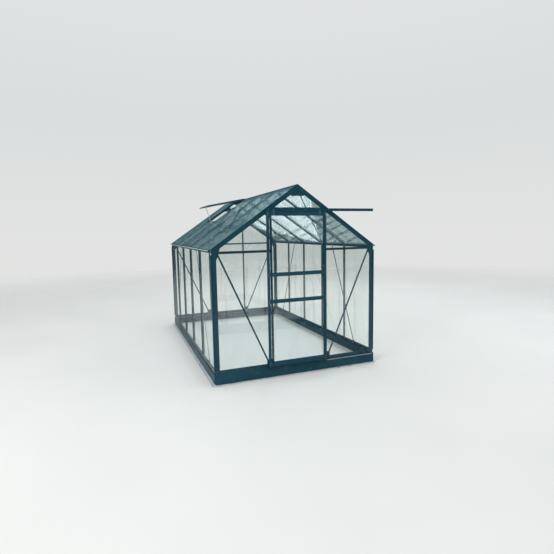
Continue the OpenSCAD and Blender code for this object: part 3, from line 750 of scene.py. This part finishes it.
def bead(base, low, high):
    """A run of glazing rubber between two corners, in millimetres."""
    piece = start_box("bead", mm(low), mm(high))
    longest = max(range(3), key=lambda i: high[i] - low[i])
    bevel_edges(piece, along(longest), 0.3 * MM, 1)
    piece.data.transform(base)
    return piece


def upright(base, x, low, high):
    """A run that starts at x and stands from one height to another."""
    return bead(base, (x, PANE_SIDE, low), (x + BEAD, BAR_SIDE, high))


def level(base, start, end, z):
    """A run along a wall whose lower edge is at a height."""
    return bead(base, (start, PANE_SIDE, z), (end, BAR_SIDE, z + BEAD))


def make_wall_seals(base):
    starts = [-1545] + [x + step for x in BAR_LINES for step in BESIDE_BAR] + [1541.4]
    beads = [upright(base, x, ABOVE_SILL, 1373) for x in starts]
    for z in (SILL_RUN, 1374):
        beads += [level(base, start + BEAD, end, z)
                  for start, end in zip(starts[0::2], starts[1::2])]
    return beads


def make_gable_seals(base):
    beads = []
    for beside_post, beside_corner, start, end in ((322.2, 905.4, 326, 905),
                                                   (-325.8, -909, -905, -326)):
        beads.append(upright(base, beside_post, ABOVE_SILL, BELOW_CROSS))
        beads.append(upright(base, beside_post, ABOVE_CROSS, 1785))
        beads.append(upright(base, beside_corner, ABOVE_SILL, BELOW_CROSS))
        beads += [level(base, start, end, z) for z in GABLE_RUNS]
    return beads


def make_slope_seals(base):
    sides = [-1559] + [y + step for y in BAR_LINES for step in BESIDE_BAR] + [1555.4]
    beads = []
    for y in sides:
        beside_vent = base is ROOF_LEFT and y in (sides[2], sides[3])
        top = 588 if beside_vent else 29
        beads.append(bead(base, (top, y, -BAR_SIDE), (1160, y + BEAD, -PANE_SIDE)))
    for end in (-1585 + PANE_SIDE, 1585 - BAR_SIDE):
        beads.append(bead(base, (45, end, -49.8), (1105, end + BAR_SIDE - PANE_SIDE, -46.2)))
    return beads


def make_seals():
    beads = []
    for base in WALLS:
        beads += make_wall_seals(base)
    for base in GABLES:
        beads += make_gable_seals(base)
    for x in (-303.8, 300.2):
        beads.append(upright(BACK, x, ABOVE_SILL, BELOW_CROSS))
        beads.append(upright(BACK, x, ABOVE_CROSS, 1800))
    beads += [level(BACK, -300, 300, z) for z in GABLE_RUNS]
    beads.append(bead(FRONT, (-262, PANE_SIDE, 1828.2), (262, BAR_SIDE, 1831.6)))
    for base in SLOPES:
        beads += make_slope_seals(base)
    fit(joined("glazing_seals", beads), "frame", SEAL_RUBBER)

    left, right = -347.3, 299.7
    beads = [bead(FRONT, (x, DOOR_PANE_SIDE, 176), (x + BEAD, DOOR_BAR_SIDE, 1751))
             for x in (left, right)]
    for z in (181.2, 818.2, 856.2, 1105.2, 1143.2, 1742.2):
        beads.append(bead(FRONT, (left + 3.7, DOOR_PANE_SIDE, z),
                          (right - 0.1, DOOR_BAR_SIDE, z + BEAD)))
    fit(joined("door_seals", beads), "door", SEAL_RUBBER)


def clip_pattern():
    """Spring wire bent to a W that holds the panes in a bar."""
    path = ((-16, 1.1, -9), (-10, 1.1, 9), (-4, 0.1, -2), (0, -0.95, -6), (4, 0.1, -2),
            (10, 1.1, 9), (16, 1.1, -9))
    data = bpy.data.curves.new("clip", "CURVE")
    data.dimensions = "3D"
    data.bevel_depth = 0.9 * MM
    data.bevel_resolution = 1
    data.resolution_u = 3
    spline = data.splines.new("BEZIER")
    spline.bezier_points.add(len(path) - 1)
    for point, place in zip(spline.bezier_points, path):
        point.co = mm(place)
        point.handle_left_type = point.handle_right_type = "AUTO"
    clip = bpy.data.objects.new("clip", data)
    bpy.context.scene.collection.objects.link(clip)
    select_only(clip)
    bpy.ops.object.convert(target="MESH")
    return smooth(bpy.context.active_object, 60)


# Turn of a clip that lies on a slope
ON_SLOPE = Matrix(((0, 0, 1, 0), (1, 0, 0, 0), (0, -1, 0, 0), (0, 0, 0, 1)))


def make_clips():
    clip = clip_pattern()
    heights = (330, 760, 1190)
    spots = places(WALLS, [(x, 0, z) for x in BAR_LINES for z in heights])
    spots += places((BACK,), both(*((POST_LINE, 0, z) for z in heights + (1600,))))
    spots += places((FRONT,), both(*((POST_LINE, 0, z) for z in heights)))
    for base in SLOPES:
        for y in BAR_LINES:
            beside_vent = base is ROOF_LEFT and y in BAR_LINES[:2]
            downs = (720, 1000) if beside_vent else (200, 590, 980)
            spots += places((base,), [(down, y, 0) for down in downs], ON_SLOPE)
    fit(spread("glazing_clips", clip, spots), "frame", MATERIALS["bare_metal"])
    drop(clip)


make_bolts()
make_screws()
make_cleats()
make_plinth_corners()
make_gutter_ends()
make_ridge_capping()
make_vent_fittings()
make_seals()
make_clips()


# ---------- studio ----------

FLOOR_RADIUS = 16
# Each band is a height from level to overhead and its colour
PALE_BANDS = ((0.0, (0.80, 0.81, 0.80)), (0.25, (0.74, 0.765, 0.77)), (1.0, (0.9, 0.9, 0.9)))
MIRRORED_BANDS = ((0.0, (0.14, 0.20, 0.20)), (0.06, (0.055, 0.12, 0.14)),
                  (0.30, (0.055, 0.155, 0.195)), (0.60, (0.26, 0.40, 0.46)),
                  (1.0, (0.9, 0.95, 1.0)))


def make_floor():
    """A pale disc that fades into the studio at its rim."""
    bpy.ops.object.select_all(action="DESELECT")
    bpy.ops.mesh.primitive_circle_add(vertices=96, radius=FLOOR_RADIUS, fill_type="NGON")
    floor = bpy.context.active_object
    floor.name = "studio_floor"
    recipe = Recipe("pale_floor")
    cloud = recipe.noise(0.8, 3)
    reach = recipe.add("ShaderNodeVectorMath", operation="LENGTH")
    recipe.put(recipe.place, reach.inputs[0])
    recipe.set(Base_Color=recipe.mix(cloud, rgb(0.72, 0.73, 0.72), rgb(0.78, 0.785, 0.775)),
               Roughness=recipe.ramp(cloud, 0.3, 0.7, 0.7, 0.85),
               Alpha=recipe.ramp(reach.outputs["Value"], FLOOR_RADIUS - 0.5, 5.0))
    floor.data.materials.append(recipe.material)


def band_ramp(tree, height, bands):
    """Colours that change with height, from level to overhead."""
    ramp = tree.nodes.new("ShaderNodeValToRGB")
    tree.links.new(height, ramp.inputs[0])
    elements = ramp.color_ramp.elements
    for element, (position, colour) in zip(elements, (bands[0], bands[-1])):
        element.position = position
        element.color = rgb(*colour)
    for position, colour in bands[1:-1]:
        elements.new(position).color = rgb(*colour)
    return ramp.outputs[0]


def make_world():
    """A pale studio whose reflections are cooler and darker away from the top."""
    world = bpy.data.worlds.new("studio_world")
    bpy.context.scene.world = world
    world.use_nodes = True
    tree = world.node_tree
    backdrop = tree.nodes["Background"]
    direction = tree.nodes.new("ShaderNodeTexCoord")
    split = tree.nodes.new("ShaderNodeSeparateXYZ")
    tree.links.new(direction.outputs["Generated"], split.inputs[0])
    path = tree.nodes.new("ShaderNodeLightPath")
    choice = tree.nodes.new("ShaderNodeMix")
    choice.data_type = "RGBA"
    tree.links.new(path.outputs["Is Glossy Ray"], choice.inputs[MIX_SHARE])
    for bands, socket in ((PALE_BANDS, MIX_FIRST), (MIRRORED_BANDS, MIX_SECOND)):
        tree.links.new(band_ramp(tree, split.outputs["Z"], bands), choice.inputs[socket])
    tree.links.new(choice.outputs[MIX_RESULT], backdrop.inputs["Color"])
    backdrop.inputs["Strength"].default_value = 0.95


def make_light(name, place, target, size, power, colour, mirrored):
    """A rectangular lamp aimed at a point; mirrored says whether glass mirrors it."""
    light = bpy.data.lights.new(name, "AREA")
    light.shape = "RECTANGLE"
    light.size, light.size_y = size
    light.energy = power
    light.color = colour
    lamp = bpy.data.objects.new(name, light)
    bpy.context.scene.collection.objects.link(lamp)
    lamp.visible_glossy = mirrored
    lamp.location = place
    lamp.rotation_euler = (Vector(target) - Vector(place)).to_track_quat("-Z", "Y").to_euler()


def make_camera():
    """A camera at the front left, a little below head height; yaw turns right from +y."""
    place = (-1.8063, -5.5838, 1.5725)
    yaw, pitch, roll = (math.radians(angle) for angle in (21.186, -6.326, -1.043))
    right = Vector((math.cos(yaw), -math.sin(yaw), 0))
    ahead = Vector((math.sin(yaw) * math.cos(pitch), math.cos(yaw) * math.cos(pitch),
                    math.sin(pitch)))
    up = right.cross(ahead)
    side = right * math.cos(roll) + up * math.sin(roll)
    top = up * math.cos(roll) - right * math.sin(roll)
    camera = bpy.data.objects.new("camera", bpy.data.cameras.new("camera"))
    camera.data.lens = 26.31
    camera.data.sensor_width = 36
    camera.data.clip_end = 200
    turn = Matrix((side, top, -ahead)).transposed().to_4x4()
    camera.matrix_world = Matrix.Translation(place) @ turn
    bpy.context.scene.collection.objects.link(camera)
    bpy.context.scene.camera = camera


make_floor()
make_world()
make_light("key", place=(-5.5, -4.5, 5.5), target=(0, 0, 1), size=(3.5, 3.5), power=230,
           colour=(1.0, 0.98, 0.95), mirrored=True)
make_light("fill", place=(6.0, -4.0, 3.5), target=(0, 0, 1), size=(4.0, 3.0), power=90,
           colour=(0.93, 0.97, 1.0), mirrored=False)
make_light("back", place=(4.5, 5.5, 6.5), target=(0, 0, 1.2), size=(4.0, 2.5), power=140,
           colour=(0.95, 0.98, 1.0), mirrored=False)
make_camera()
bpy.context.scene.view_settings.view_transform = "Standard"
